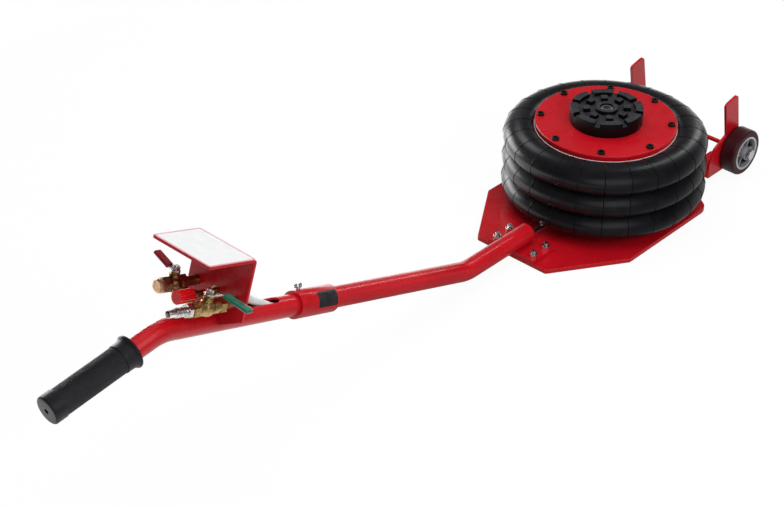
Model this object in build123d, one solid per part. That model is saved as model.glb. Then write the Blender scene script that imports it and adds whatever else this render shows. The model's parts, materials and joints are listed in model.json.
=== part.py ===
from build123d import *
import os
from math import acos, asin, cos, degrees, pi, radians, sin, sqrt, tan

# Air bag jack in millimetres. The origin is on the floor under the bag's axis, +Z is up,
# and the handle reaches out along -X.

# Clearances
run_fit = 0.05
fixed_fit = 0.05
screw_fit = 0.3
soft_gap = 0.3
face_gap = 0.2

# Base plate: an octagon under the bag, with long front and rear chamfers
base_thickness = 6.0
base_side_inset = 15.0
base_front_reach = 52.0
base_rear_reach = 31.0
base_end_half_width = 57.0
base_chamfer_length = 95.0
base_side_setback = 58.0
base_neck_setback = 15.0
base_corner_round = 5.0
base_rear_corner_round = 20.0
base_edge_round = 1.0

# Wheel brackets behind the bag: upright plates with a foot and a stand-up fin
bracket_inner_y = 77.0
bracket_thickness = 4.0
bracket_bag_gap = 2.0
bracket_length = 70.0
bracket_front_height = 22.0
bracket_rear_height = 47.0
bracket_shoulder_length = 10.0
bracket_shoulder_height = 42.0
bracket_foot_width = 32.0
bracket_foot_thickness = 5.0
bracket_foot_length = 58.0
fin_root_distance = 35.0
fin_root_height = 54.0
fin_width = 29.5
fin_lean = 11.3
fin_top_height = 110.5
fin_top_drop = 6.0
fin_corner_round = 5.0
cross_rod_radius = 3.0
cross_rod_distance = 29.0
cross_rod_height = 44.2

# Wheels
wheel_distance = 54.0
wheel_radius = 32.5
wheel_width = 22.5
wheel_floor_gap = 0.2
rim_radius = 24.0
rim_wall = 3.2
hub_boss_radius = 9.0
hub_boss_proud = 3.0
hub_web_thickness = 3.0
hub_spoke_width = 3.4
hub_spoke_depth = 15.0
hub_spoke_count = 6
tyre_edge_round = 3.5
axle_radius = 4.0
axle_sleeve_radius = 6.0
axle_head_flats = 13.0
axle_head_height = 5.5
axle_nut_height = 6.5
axle_thread_end = 2.0

# Air bag: rolls of elliptical section between the seat and the top plate
bag_radius = 135.0
bag_roll_depth = 28.0
bag_roll_half_height = 20.0
bag_crown_depth = 19.5
bag_pitch = 33.0
bag_wall = 4.0
bag_neck_inset = 25.0
bag_neck_wall = 5.0
bag_fold_wall = 6.0
hoop_size = 5.4
seat_inset = 13.5
seat_thickness = 12.8
top_plate_inset = 13.3
top_plate_thickness = 9.0
top_plate_edge_round = 1.2
bead_ring_inset = 14.5
bead_ring_width = 20.5
bead_ring_thickness = 6.0
bead_screw_inset = 21.0
bead_screw_count = 8
bead_screw_radius = 3.0
top_screw_angle = 33.5
bottom_screw_angle = 22.5
top_screw_head_radius = 5.0
top_screw_head_height = 3.0
top_screw_head_round = 0.6
top_screw_socket_flats = 4.0
top_screw_socket_depth = 1.6
countersink_radius = 6.0
countersink_depth = 3.0

# Guide column: four tubes that slide in one another
guide_outer_radius = 22.0
guide_wall = 3.0
guide_top_gap = 6.0
guide_step = 1.2
guide_plug_length = 18.0

# Lifting pad
pad_radius = 48.0
pad_height = 20.2
pad_block_height = 5.5
pad_block_count = 8
pad_rim_width = 10.0
pad_rim_gap = 7.5
pad_stud_size = 9.0
pad_stud_circle_radius = 26.5
pad_boss_radius = 14.5
pad_recess_radius = 8.8
pad_recess_depth = 9.6
pad_bolt_radius = 4.0
pad_bolt_head_radius = 7.8
pad_bolt_head_height = 8.2
pad_bolt_head_round = 1.0
pad_bolt_socket_flats = 8.0
pad_bolt_socket_depth = 5.0

# Handle tubes
tube_radius = 12.7
tube_wall = 2.5
handle_slope = 19.5
lower_tube_bag_gap = 20.5
lower_tube_straight = 120.5
lower_bend_radius = 60.0
sleeve_start = 255.0
sleeve_length = 61.0
sleeve_wall = 3.5
tube_insertion = 36.0
upper_bend_distance = 516.5
upper_bend_radius = 60.0
grip_drop = 7.2
slot_start = 50.0
slot_length = 50.0
slot_width = 12.5
slot_floor_height = 4.2

# Handle flange on the base plate
flange_thickness = 5.0
flange_groove = 1.1
flange_length = 42.0
flange_half_width = 38.0
flange_bolt_spacing_x = 24.5
flange_bolt_spacing_y = 61.0
flange_bolt_radius = 3.0
flange_bolt_free_end = 4.0
flange_nut_flats = 10.0
flange_nut_height = 5.0

# Air line inside the handle
hose_radius = 5.0
hose_bore_radius = 3.25
hose_first_bend = 30.0
hose_outlet_bend_radius = 40.0
hose_bend_radius = 70.0
hose_tube_entry = 98.0
barb_length = 12.0
barb_bore_radius = 2.0
end_plug_length = 9.0
end_plug_offset = 4.6
inlet_pipe_radius = 3.2
inlet_pipe_bore_radius = 2.2
inlet_pipe_straight = 7.0
inlet_pipe_height = 7.0
inlet_pipe_slope_inset = 25.0
inlet_pipe_bend_radius = 30.0
port_depth = 30.0
port_insertion = 8.0

# Grip
grip_start = 38.0
grip_length = 111.0
grip_radius = 15.6
grip_step_radius = 16.3
grip_flange_radius = 19.3
grip_flange_thickness = 3.0
grip_flare_length = 8.0
grip_collar_length = 6.0
grip_end_length = 15.0
grip_end_wall = 4.0
grip_end_hole_radius = 3.0
grip_end_round = 2.5

# Valve bracket: a bent sheet with a cantilevered top and a saddle on the tube
bench_distance = 443.2
sheet_thickness = 3.0
sheet_bend_radius = 4.0
panel_half_width = 44.5
panel_offset = 1.9
panel_length = 68.6
panel_corner_round = 4.0
wall_height = 91.0
wall_bottom_height = 19.0
saddle_half_width = 16.0
saddle_bottom_height = 3.0

# Valves on the bracket
valve_height = 36.0
valve_spacing = 30.0
valve_flats = 16.5
valve_barrel_radius = 8.2
valve_ball_house_radius = 9.8
valve_hex_length = 8.0
valve_neck_length = 18.0
valve_neck_radius = 5.8
valve_bore_radius = 3.5
inlet_body_length = 45.0
exhaust_body_length = 31.0
ball_radius = 5.5
ball_bore_radius = 3.0
ball_seat_length = 3.0
ball_seat_overlap = 1.0
stem_radius = 2.5
stem_end = 1.0
stem_root = 4.0
bonnet_radius = 6.0
bonnet_height = 11.5
gland_flats = 10.0
gland_height = 3.0
lever_thickness = 1.8
lever_width = 6.4
lever_head_radius = 5.5
lever_flat = 7.0
inlet_lever_length = 58.0
inlet_lever_bend_length = 14.0
inlet_lever_bend_height = 8.0
inlet_lever_end_height = 6.0
exhaust_lever_length = 31.0
exhaust_lever_end_height = 7.6
lever_sleeve_thickness = 4.6
lever_sleeve_width = 10.0
lever_sleeve_round = 2.0
lever_sleeve_gap = 1.5
lever_sleeve_end = 2.0
lever_nut_flats = 8.0
lever_nut_height = 4.0

# Hose nipple and muffler
nipple_length = 31.0
nipple_radius = 4.2
nipple_tip_length = 10.0
nipple_ridge_radius = 5.4
nipple_ridge_length = 3.0
nipple_groove_length = 3.0
nipple_hex_flats = 14.0
nipple_hex_length = 6.0
muffler_length = 7.5
muffler_radius = 7.8
muffler_round = 2.0

# Relief valve
relief_neck_length = 29.0
relief_neck_radius = 3.6
relief_hex_flats = 10.0
relief_hex_length = 5.0
relief_barrel_radius = 5.0
relief_barrel_length = 17.0
relief_bore_radius = 3.6
relief_passage_radius = 1.5
relief_seat_thickness = 4.0
relief_cap_radius = 7.6
relief_cap_end = 4.5
relief_rib_count = 16
relief_rib_radius = 0.8
relief_spring_wire_radius = 0.45
relief_spring_turns = 7
poppet_length = 3.5

# Manifold block behind the bracket's wall
manifold_depth = 14.0
manifold_half_length = 37.5
manifold_chamfer = 10.0
manifold_rise = 10.0
manifold_drop = 19.0
manifold_gallery_radius = 3.0
manifold_outlet_drop = 14.0
stub_radius = 6.0
stub_length = 6.0

# Wing screw in the sleeve
wing_screw_radius = 2.5
wing_screw_from_end = 9.0
wing_screw_tilt = 18.0
wing_hub_radius = 3.2
wing_hub_height = 3.2
wing_stem_height = 2.0
wing_thickness = 2.0
wing_offset = 3.7
wing_half_length = 2.4
wing_half_height = 2.8

# Heights and places that follow from the sizes above
slope = radians(handle_slope)
drop = radians(grip_drop)
axis_z = base_thickness + flange_thickness - flange_groove + tube_radius
bag_bottom_z = base_thickness + seat_thickness
bag_mid_z = [bag_bottom_z + bag_pitch * (i + 0.5) for i in range(3)]
bag_centre_radius = bag_radius - bag_roll_depth
bag_neck_radius = bag_centre_radius - bag_neck_inset
seat_radius = bag_centre_radius - seat_inset
top_plate_radius = bag_centre_radius - top_plate_inset
bead_ring_outer = bag_centre_radius - bead_ring_inset
bag_bead_radius = bead_ring_outer - bead_ring_width
bead_screw_circle_radius = bag_centre_radius - bead_screw_inset
inner_roll_depth = bag_roll_depth - bag_wall
inner_roll_half_height = bag_roll_half_height - bag_wall
bracket_front_x = bag_radius + bracket_bag_gap
bracket_rear_x = bracket_front_x + bracket_length
bracket_shoulder_x = bracket_front_x + bracket_shoulder_length
fin_root_x = bracket_front_x + fin_root_distance
cross_rod_x = bracket_front_x + cross_rod_distance
wheel_x = bracket_front_x + wheel_distance
wheel_z = wheel_radius + wheel_floor_gap
wheel_inner_y = bracket_inner_y + bracket_thickness + face_gap
wheel_outer_y = wheel_inner_y + wheel_width
base_half_width = bag_radius - base_side_inset
base_front_x = -bag_radius - base_front_reach
base_rear_x = bag_radius + base_rear_reach
base_flat_front_x = base_front_x + base_chamfer_length
base_flat_rear_x = bag_radius - base_side_setback
base_neck_x = bag_radius - base_neck_setback
lower_tube_end_x = -bag_radius - lower_tube_bag_gap
lower_bend_x = lower_tube_end_x - lower_tube_straight
inlet_pipe_slope_end_x = inlet_pipe_slope_inset - bag_radius
split_distance = sleeve_start + sleeve_length - tube_insertion
sleeve_radius = tube_radius + run_fit + sleeve_wall
tube_bore_radius = tube_radius - tube_wall


def roll_height(radius, depth, half_height):
    """Height of a bag roll's ellipse above its middle, at a distance from the jack's axis."""
    offset = (radius - bag_centre_radius) / depth
    return half_height * sqrt(1 - offset * offset)


plate_bottom_z = bag_mid_z[2] + roll_height(top_plate_radius, bag_crown_depth, bag_roll_half_height)
plate_top_z = plate_bottom_z + top_plate_thickness
upper_flange_z = plate_bottom_z - bag_wall
lower_flange_z = bag_bottom_z + bag_wall
pad_top_z = plate_top_z + pad_height


def on_slope(distance, height=0.0):
    """Point on the handle's middle line, counted up the slope from the lower bend, with a height square to it."""
    x = lower_bend_x - distance * cos(slope) + height * sin(slope)
    z = axis_z + distance * sin(slope) + height * cos(slope)
    return (x, 0, z)


def slope_frame(distance):
    """Frame on the handle's middle line: +X points down the handle, +Y is the jack's, +Z is square to the tube."""
    origin = on_slope(distance)
    plane = Plane(origin=origin, x_dir=(cos(slope), 0, -sin(slope)), z_dir=(sin(slope), 0, cos(slope)))
    return Location(plane)


bench = slope_frame(bench_distance)


def on_bench(along, height):
    """Point of the middle plane given along the handle from the bracket's wall and above the tube's axis."""
    return on_slope(bench_distance - along, height)


def disc(radius, low, high, x=0.0, y=0.0):
    """Upright cylinder between two heights."""
    return Pos(x, y, (low + high) / 2) * Cylinder(radius, high - low)


def ring(outer, inner, low, high):
    """Upright ring between two heights."""
    return disc(outer, low, high) - disc(inner, low, high)


def rod_x(radius, start, end):
    """Cylinder along X."""
    return Pos((start + end) / 2, 0, 0) * Rot(0, 90, 0) * Cylinder(radius, end - start)


def rod_y(radius, start, end, x=0.0, z=0.0):
    """Cylinder along Y."""
    return Pos(x, (start + end) / 2, z) * Rot(90, 0, 0) * Cylinder(radius, end - start)


def hexagon(flats, low, high):
    """Upright hexagonal prism between two heights."""
    face = RegularPolygon(flats / 2, 6, major_radius=False)
    return Pos(0, 0, low) * extrude(face, high - low)


def hexagon_x(flats, start, end):
    """Hexagonal prism along X."""
    return Pos(start, 0, 0) * Rot(0, 90, 0) * hexagon(flats, 0, end - start)


def hexagon_y(flats, start, end, x, z):
    """Hexagonal prism along Y, between two values of Y."""
    return Pos(x, end, z) * Rot(90, 0, 0) * hexagon(flats, 0, end - start)


def circle_points(count, radius, first_angle=0.0):
    """Points and angles spaced evenly on a circle."""
    angles = [first_angle + 360.0 * i / count for i in range(count)]
    return [(radius * cos(radians(a)), radius * sin(radians(a)), a) for a in angles]


def tube_on(path, radius):
    """Solid round bar along a path."""
    return sweep(Plane(path @ 0, z_dir=path % 0) * Circle(radius), path=path)


def group(solids):
    """Separate like solids in one node."""
    return Compound(children=list(solids))


bottom_screw_points = circle_points(bead_screw_count, bead_screw_circle_radius, bottom_screw_angle)
top_screw_points = circle_points(bead_screw_count, bead_screw_circle_radius, top_screw_angle)
flange_middle_x = base_front_x + flange_length / 2
flange_bolt_points = [
    (flange_middle_x + side_x * flange_bolt_spacing_x / 2, side_y * flange_bolt_spacing_y / 2)
    for side_x in (-1, 1)
    for side_y in (-1, 1)
]


# Base plate
def countersunk_hole(x, y, radius):
    """Through hole of the base plate with a countersink from below."""
    hole = disc(radius + screw_fit, 0, base_thickness, x, y)
    sink = Cone(countersink_radius + screw_fit, radius + screw_fit, countersink_depth)
    return hole + Pos(x, y, countersink_depth / 2) * sink


def make_base_plate():
    half_outline = [
        (base_front_x, base_end_half_width),
        (base_flat_front_x, base_half_width),
        (base_flat_rear_x, base_half_width),
        (base_neck_x, base_end_half_width),
        (base_rear_x, base_end_half_width),
    ]
    outline = half_outline + [(x, -y) for x, y in reversed(half_outline)]
    face = make_face(Polyline(*outline, close=True))
    rear_corners = [v for v in face.vertices() if v.X == base_flat_rear_x]
    face = fillet(rear_corners, base_rear_corner_round)
    sharp = [v for v in face.vertices() if abs(v.Y) == base_end_half_width or v.X == base_flat_front_x]
    plate = extrude(fillet(sharp, base_corner_round), base_thickness)
    plate = fillet(plate.faces().sort_by(Axis.Z)[-1].edges(), base_edge_round)
    for x, y in flange_bolt_points:
        plate -= countersunk_hole(x, y, flange_bolt_radius)
    for x, y, _ in bottom_screw_points:
        plate -= countersunk_hole(x, y, bead_screw_radius)
    return plate


# Wheel brackets, the rod between them and the axles
def fin_edge(x, height):
    """Point of a leaning fin edge that starts at the fin's root."""
    return (x - (height - fin_root_height) * tan(radians(fin_lean)), height)


def make_wheel_bracket(side):
    outline = [
        (bracket_front_x, 0),
        (bracket_front_x, bracket_front_height),
        (bracket_shoulder_x, bracket_shoulder_height),
        (fin_root_x, fin_root_height),
        fin_edge(fin_root_x, fin_top_height - fin_top_drop),
        fin_edge(fin_root_x + fin_width, fin_top_height),
        (fin_root_x + fin_width, fin_root_height),
        (bracket_rear_x, bracket_rear_height),
        (bracket_rear_x, 0),
    ]
    face = make_face(Polyline(*outline, close=True))
    upper = [v for v in face.vertices() if v.Y > fin_root_height]
    face = fillet(upper, fin_corner_round)
    plate = Rot(90, 0, 0) * extrude(face, bracket_thickness)
    far_y = bracket_inner_y + bracket_thickness
    plate = Pos(0, far_y, base_thickness) * plate
    foot_size = (bracket_foot_length, bracket_foot_width, bracket_foot_thickness)
    foot = Box(*foot_size, align=(Align.MIN, Align.MAX, Align.MIN))
    plate += Pos(bracket_front_x, bracket_inner_y, base_thickness) * foot
    plate -= rod_y(axle_radius + fixed_fit, bracket_inner_y, far_y, wheel_x, wheel_z)
    rod_z = base_thickness + cross_rod_height
    plate -= rod_y(cross_rod_radius + fixed_fit, bracket_inner_y, far_y, cross_rod_x, rod_z)
    return plate if side > 0 else mirror(plate, Plane.XZ)


def make_cross_rod():
    end_y = bracket_inner_y + bracket_thickness
    return rod_y(cross_rod_radius, -end_y, end_y, cross_rod_x, base_thickness + cross_rod_height)


def both_sides(solid):
    """The same piece on the left and the right of the jack."""
    return group([solid, mirror(solid, Plane.XZ)])


sleeve_outer_y = wheel_outer_y + hub_boss_proud + face_gap


def make_axle_sleeves():
    start_y = bracket_inner_y + bracket_thickness
    sleeve = rod_y(axle_sleeve_radius, start_y, sleeve_outer_y, wheel_x, wheel_z)
    return both_sides(sleeve - rod_y(axle_radius + fixed_fit, start_y, sleeve_outer_y, wheel_x, wheel_z))


def make_axle_bolts():
    inner_end = bracket_inner_y - axle_nut_height - axle_thread_end
    shank = rod_y(axle_radius, inner_end, sleeve_outer_y, wheel_x, wheel_z)
    head = hexagon_y(axle_head_flats, sleeve_outer_y, sleeve_outer_y + axle_head_height, wheel_x, wheel_z)
    return both_sides(shank + head)


def make_axle_nuts():
    start_y = bracket_inner_y - axle_nut_height
    nut = hexagon_y(axle_head_flats, start_y, bracket_inner_y, wheel_x, wheel_z)
    return both_sides(nut - rod_y(axle_radius + fixed_fit, start_y, bracket_inner_y, wheel_x, wheel_z))


# Wheels
def place_wheel(solid, side):
    """Put a wheel piece, made about the Z axis from 0 to its width, on its axle."""
    placed = Pos(wheel_x, wheel_inner_y, wheel_z) * Rot(-90, 0, 0) * solid
    return placed if side > 0 else mirror(placed, Plane.XZ)


def make_wheel_hub(side):
    middle = wheel_width / 2
    rim_inner = rim_radius - rim_wall
    hub = ring(rim_radius, rim_inner, 0, wheel_width)
    hub += disc(hub_boss_radius, 0, wheel_width + hub_boss_proud)
    hub += disc(rim_inner, middle - hub_web_thickness / 2, middle + hub_web_thickness / 2)
    spoke = Pos((hub_boss_radius + rim_inner) / 2, 0, middle)
    spoke *= Box(rim_inner - hub_boss_radius + rim_wall, hub_spoke_width, hub_spoke_depth)
    for _, _, angle in circle_points(hub_spoke_count, 1.0):
        hub += Rot(0, 0, angle) * spoke
    hub -= disc(axle_sleeve_radius + run_fit, 0, wheel_width + hub_boss_proud)
    return place_wheel(hub, side)


def make_tyre(side):
    tyre = disc(wheel_radius, 0, wheel_width)
    tyre = fillet(tyre.edges().filter_by(GeomType.CIRCLE), tyre_edge_round)
    return place_wheel(tyre - disc(rim_radius, 0, wheel_width), side)


# Bag seat, bead rings and their screws
def make_bag_seat():
    seat = disc(seat_radius, base_thickness, bag_bottom_z)
    seat -= disc(guide_outer_radius + fixed_fit, base_thickness, bag_bottom_z)
    for x, y, _ in bottom_screw_points:
        seat -= disc(bead_screw_radius + screw_fit, base_thickness, bag_bottom_z, x, y)
    port_z = base_thickness + inlet_pipe_height
    port_end_x = port_depth - seat_radius
    seat -= Pos(0, 0, port_z) * rod_x(inlet_pipe_radius + fixed_fit, -seat_radius, port_end_x)
    seat -= disc(inlet_pipe_radius, port_z, bag_bottom_z, port_end_x - inlet_pipe_radius, 0)
    return seat


def make_bead_ring(low, points):
    solid = ring(bead_ring_outer, bag_bead_radius, low, low + bead_ring_thickness)
    for x, y, _ in points:
        solid -= disc(bead_screw_radius + fixed_fit, low, low + bead_ring_thickness, x, y)
    return solid


def make_bottom_screws():
    top = lower_flange_z + bead_ring_thickness
    shank = disc(bead_screw_radius, 0, top)
    head = Pos(0, 0, countersink_depth / 2) * Cone(countersink_radius, bead_screw_radius, countersink_depth)
    return group([Pos(x, y, 0) * (shank + head) for x, y, _ in bottom_screw_points])


def make_top_screws():
    low = upper_flange_z - bead_ring_thickness
    head = disc(top_screw_head_radius, plate_top_z, plate_top_z + top_screw_head_height)
    head = fillet(head.edges().group_by(Axis.Z)[-1], top_screw_head_round)
    socket_low = plate_top_z + top_screw_head_height - top_screw_socket_depth
    head -= hexagon(top_screw_socket_flats, socket_low, plate_top_z + top_screw_head_height)
    screw = head + disc(bead_screw_radius, low, plate_top_z)
    return group([Pos(x, y, 0) * screw for x, y, _ in top_screw_points])


# Air bag
def roll_arc(mid_z, depth, half_height, start_angle, end_angle):
    """Part of a bag roll's ellipse in the XZ plane, with angles in degrees."""
    centre = (bag_centre_radius, mid_z)
    return EllipticalCenterArc(centre, depth, half_height, start_angle, arc_size=end_angle - start_angle)


def turned(edges):
    """Solid turned about the Z axis from a closed outline drawn as radius and height."""
    face = make_face(edges)
    return revolve(Plane.XZ * face, Axis.Z)


half_pitch = bag_pitch / 2
fold_angle = degrees(asin(half_pitch / bag_roll_half_height))
fold_inner_height = half_pitch - bag_fold_wall
fold_inner_angle = degrees(asin(fold_inner_height / inner_roll_half_height))
notch_inner = bag_neck_radius
notch_outer = bag_neck_radius + hoop_size + 2 * soft_gap
notch_depth = hoop_size / 2 + soft_gap


def neck_edge(mid_z, side):
    """Outline of a roll's fold from the outer ellipse to the inner one, above (1) or below (-1) its middle."""
    fold_radius = bag_centre_radius + bag_roll_depth * cos(radians(fold_angle))
    inner_radius = bag_centre_radius + inner_roll_depth * cos(radians(fold_inner_angle))
    end_z = mid_z + side * half_pitch
    return [
        (fold_radius, end_z),
        (notch_outer, end_z),
        (notch_outer, end_z - side * notch_depth),
        (notch_inner, end_z - side * notch_depth),
        (notch_inner, end_z),
        (notch_inner - bag_neck_wall, end_z),
        (notch_inner - bag_neck_wall, mid_z + side * fold_inner_height),
        (inner_radius, mid_z + side * fold_inner_height),
    ]


def bead_edge():
    """Outline of the lowest roll's flat bottom, which the lower bead ring clamps on the seat."""
    mid_z = bag_mid_z[0]
    fold = neck_edge(mid_z, -1)
    return [fold[0], (bag_bead_radius, bag_bottom_z), (bag_bead_radius, lower_flange_z),
            (bead_ring_outer + soft_gap, lower_flange_z), fold[-1]]


crown_angle = degrees(acos((top_plate_radius - bag_centre_radius) / bag_crown_depth))
crown_inner_angle = 180 - degrees(asin((upper_flange_z - bag_mid_z[2]) / inner_roll_half_height))


def crown_edge():
    """Outline of the highest roll's flange, which the upper bead ring clamps under the top plate."""
    inner_radius = bag_centre_radius + (bag_crown_depth - bag_wall) * cos(radians(crown_inner_angle))
    return [(top_plate_radius, plate_bottom_z), (bag_bead_radius, plate_bottom_z),
            (bag_bead_radius, upper_flange_z), (inner_radius, upper_flange_z)]


def roll_arcs(mid_z, depth, crown_depth, half_height, start_angle, end_angle):
    """Outline of a roll up to its fold, or past its top to the crown's flange."""
    if end_angle <= 90:
        return [roll_arc(mid_z, depth, half_height, start_angle, end_angle)]
    return [roll_arc(mid_z, depth, half_height, start_angle, 90),
            roll_arc(mid_z, crown_depth, half_height, 90, end_angle)]


def make_convolution(index):
    mid_z = bag_mid_z[index]
    top = index == 2
    low_edge = bead_edge() if index == 0 else neck_edge(mid_z, -1)
    high_edge = crown_edge() if top else neck_edge(mid_z, 1)
    outer_end = crown_angle if top else fold_angle
    inner_end = crown_inner_angle if top else fold_inner_angle
    outer = roll_arcs(mid_z, bag_roll_depth, bag_crown_depth, bag_roll_half_height, -fold_angle, outer_end)
    inner = roll_arcs(mid_z, inner_roll_depth, bag_crown_depth - bag_wall, inner_roll_half_height,
                      -fold_inner_angle, inner_end)
    solid = turned(outer + inner + [Polyline(*high_edge), Polyline(*low_edge)])
    if index == 0:
        for x, y, _ in bottom_screw_points:
            solid -= disc(bead_screw_radius + screw_fit, bag_bottom_z, lower_flange_z, x, y)
    if top:
        for x, y, _ in top_screw_points:
            solid -= disc(bead_screw_radius + screw_fit, upper_flange_z, plate_bottom_z, x, y)
    return solid


def make_girdle_hoop(index):
    middle = bag_bottom_z + bag_pitch * (index + 1)
    inner = bag_neck_radius + soft_gap
    return ring(inner + hoop_size, inner, middle - hoop_size / 2, middle + hoop_size / 2)


# Guide column
def guide_radius(stage):
    """Outer radius of a guide stage, counted from the outermost."""
    return guide_outer_radius - stage * (guide_wall + run_fit)


def guide_low(stage):
    """Lower end of a guide stage, counted from the outermost."""
    return base_thickness + stage * soft_gap


def make_guide_stage(stage):
    low = guide_low(stage)
    high = plate_bottom_z - guide_top_gap + stage * guide_step
    outer = guide_radius(stage)
    return ring(outer, outer - guide_wall, low, high)


def make_guide_inner_rod():
    low = guide_low(3)
    outer = guide_radius(3)
    plug_low = plate_bottom_z - guide_plug_length
    rod = ring(outer, outer - guide_wall, low, plug_low) + disc(outer, plug_low, plate_bottom_z)
    return rod - disc(pad_bolt_radius + fixed_fit, plug_low, plate_bottom_z)


# Lifting head
def make_top_plate():
    plate = disc(top_plate_radius, plate_bottom_z, plate_top_z)
    plate = fillet(plate.edges().group_by(Axis.Z)[-1], top_plate_edge_round)
    plate -= disc(pad_bolt_radius + screw_fit, plate_bottom_z, plate_top_z)
    for x, y, _ in top_screw_points:
        plate -= disc(bead_screw_radius + screw_fit, plate_bottom_z, plate_top_z, x, y)
    return plate


def make_lift_pad():
    floor_z = pad_top_z - pad_block_height
    pad = disc(pad_radius, plate_top_z, floor_z)
    rim = ring(pad_radius, pad_radius - pad_rim_width, floor_z, pad_top_z)
    stud = Pos(pad_stud_circle_radius, 0, (floor_z + pad_top_z) / 2)
    stud *= Box(pad_stud_size, pad_stud_size, pad_block_height)
    half_step = 180.0 / pad_block_count
    cut = Pos(pad_radius - pad_rim_width / 2, 0, pad_top_z - pad_block_height / 2)
    cut *= Box(2 * pad_rim_width, pad_rim_gap, pad_block_height)
    for _, _, angle in circle_points(pad_block_count, 1.0):
        rim -= Rot(0, 0, angle + half_step) * cut
        pad += Rot(0, 0, angle) * stud
    pad += rim
    pad += disc(pad_boss_radius, floor_z, pad_top_z)
    pad -= disc(pad_recess_radius, pad_top_z - pad_recess_depth, pad_top_z)
    return pad - disc(pad_bolt_radius + screw_fit, plate_top_z, pad_top_z)


def make_pad_bolt():
    head_low = pad_top_z - pad_recess_depth
    head_high = head_low + pad_bolt_head_height
    bolt = disc(pad_bolt_head_radius, head_low, head_high)
    bolt = fillet(bolt.edges().group_by(Axis.Z)[-1], pad_bolt_head_round)
    bolt -= hexagon(pad_bolt_socket_flats, head_high - pad_bolt_socket_depth, head_high)
    return bolt + disc(pad_bolt_radius, plate_bottom_z - guide_plug_length, head_low)


# Handle flange, tubes and sleeve
lower_end = (lower_tube_end_x, 0, axis_z)
lower_bend = (lower_bend_x, 0, axis_z)
upper_bend = on_slope(upper_bend_distance)


def on_grip(distance):
    """Point of the grip's middle line, counted from the upper bend."""
    return (upper_bend[0] - distance * cos(drop), 0, upper_bend[2] - distance * sin(drop))


def make_handle_flange():
    size = (flange_length, 2 * flange_half_width, flange_thickness)
    plate = Pos(base_front_x, 0, base_thickness) * Box(*size, align=(Align.MIN, Align.CENTER, Align.MIN))
    plate -= Pos(0, 0, axis_z) * rod_x(tube_radius + fixed_fit, base_front_x, base_front_x + flange_length)
    for x, y in flange_bolt_points:
        plate -= disc(flange_bolt_radius + screw_fit, base_thickness, base_thickness + flange_thickness, x, y)
    return plate


def make_flange_bolts():
    top = base_thickness + flange_thickness + flange_nut_height + flange_bolt_free_end
    head = Pos(0, 0, countersink_depth / 2) * Cone(countersink_radius, flange_bolt_radius, countersink_depth)
    bolt = disc(flange_bolt_radius, 0, top) + head
    return group([Pos(x, y, 0) * bolt for x, y in flange_bolt_points])


def make_flange_nuts():
    low = base_thickness + flange_thickness
    nut = hexagon(flange_nut_flats, low, low + flange_nut_height)
    nut -= disc(flange_bolt_radius + fixed_fit, low, low + flange_nut_height)
    return group([Pos(x, y, 0) * nut for x, y in flange_bolt_points])


def hollow_tube(path):
    """Handle tube along a path."""
    return tube_on(path, tube_radius) - tube_on(path, tube_bore_radius)


def make_lower_tube():
    path = FilletPolyline(lower_end, lower_bend, on_slope(split_distance), radius=lower_bend_radius)
    return hollow_tube(path)


def make_upper_tube():
    tube_end = on_grip(grip_start + grip_length - grip_end_wall)
    path = FilletPolyline(on_slope(split_distance), upper_bend, tube_end, radius=upper_bend_radius)
    slot = extrude(SlotOverall(slot_length, slot_width), tube_radius)
    return hollow_tube(path) - bench * Pos(slot_start + slot_length / 2, 0, slot_floor_height) * slot


wing_frame = slope_frame(sleeve_start + sleeve_length - wing_screw_from_end) * Rot(-wing_screw_tilt, 0, 0)


def make_coupling_sleeve():
    middle = slope_frame(sleeve_start + sleeve_length / 2)
    half = sleeve_length / 2
    sleeve = rod_x(sleeve_radius, -half, half) - rod_x(tube_radius + run_fit, -half, half)
    sleeve = middle * sleeve
    return sleeve - wing_frame * disc(wing_screw_radius + run_fit, 0, 2 * sleeve_radius)


def make_wing_screw():
    hub_low = sleeve_radius + wing_stem_height
    screw = disc(wing_screw_radius, tube_radius + soft_gap, hub_low)
    screw += disc(wing_hub_radius, hub_low, hub_low + wing_hub_height)
    for side in (-1, 1):
        ear = extrude(Ellipse(wing_half_length, wing_half_height), wing_thickness / 2, both=True)
        screw += Pos(side * wing_offset, 0, hub_low + wing_half_height) * Rot(90, 0, 0) * ear
    return wing_frame * screw


# Air line from the handle's end to the bag
end_plug_x = lower_tube_end_x - end_plug_length
hose_end_x = end_plug_x - face_gap
pipe_start_z = axis_z - end_plug_offset
pipe_end_z = base_thickness + inlet_pipe_height


def make_barb():
    """Hose barb along +X from the origin, inside a hose's bore."""
    return rod_x(hose_bore_radius - fixed_fit, 0, barb_length)


def make_tube_end_plug():
    plug = rod_x(tube_bore_radius - fixed_fit, end_plug_x, lower_tube_end_x)
    plug += Pos(end_plug_x, 0, 0) * Rot(0, 0, 180) * make_barb()
    plug -= rod_x(barb_bore_radius, end_plug_x - barb_length, end_plug_x + end_plug_length / 2)
    plug -= Pos(end_plug_x + end_plug_length / 2, 0, -end_plug_offset / 2) * Cylinder(
        barb_bore_radius, end_plug_offset)
    pipe_hole = rod_x(inlet_pipe_radius + fixed_fit, end_plug_x + end_plug_length / 2, lower_tube_end_x)
    plug -= Pos(0, 0, -end_plug_offset) * pipe_hole
    return Pos(0, 0, axis_z) * plug


def make_bag_inlet_pipe():
    path = FilletPolyline(
        (end_plug_x + end_plug_length / 2, 0, pipe_start_z),
        (lower_tube_end_x + inlet_pipe_straight, 0, pipe_start_z),
        (inlet_pipe_slope_end_x, 0, pipe_end_z),
        (port_insertion - seat_radius, 0, pipe_end_z),
        radius=inlet_pipe_bend_radius,
    )
    return tube_on(path, inlet_pipe_radius) - tube_on(path, inlet_pipe_bore_radius)


def hose_on(path):
    """Air hose along a path."""
    return tube_on(path, hose_radius) - tube_on(path, hose_bore_radius)


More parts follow.
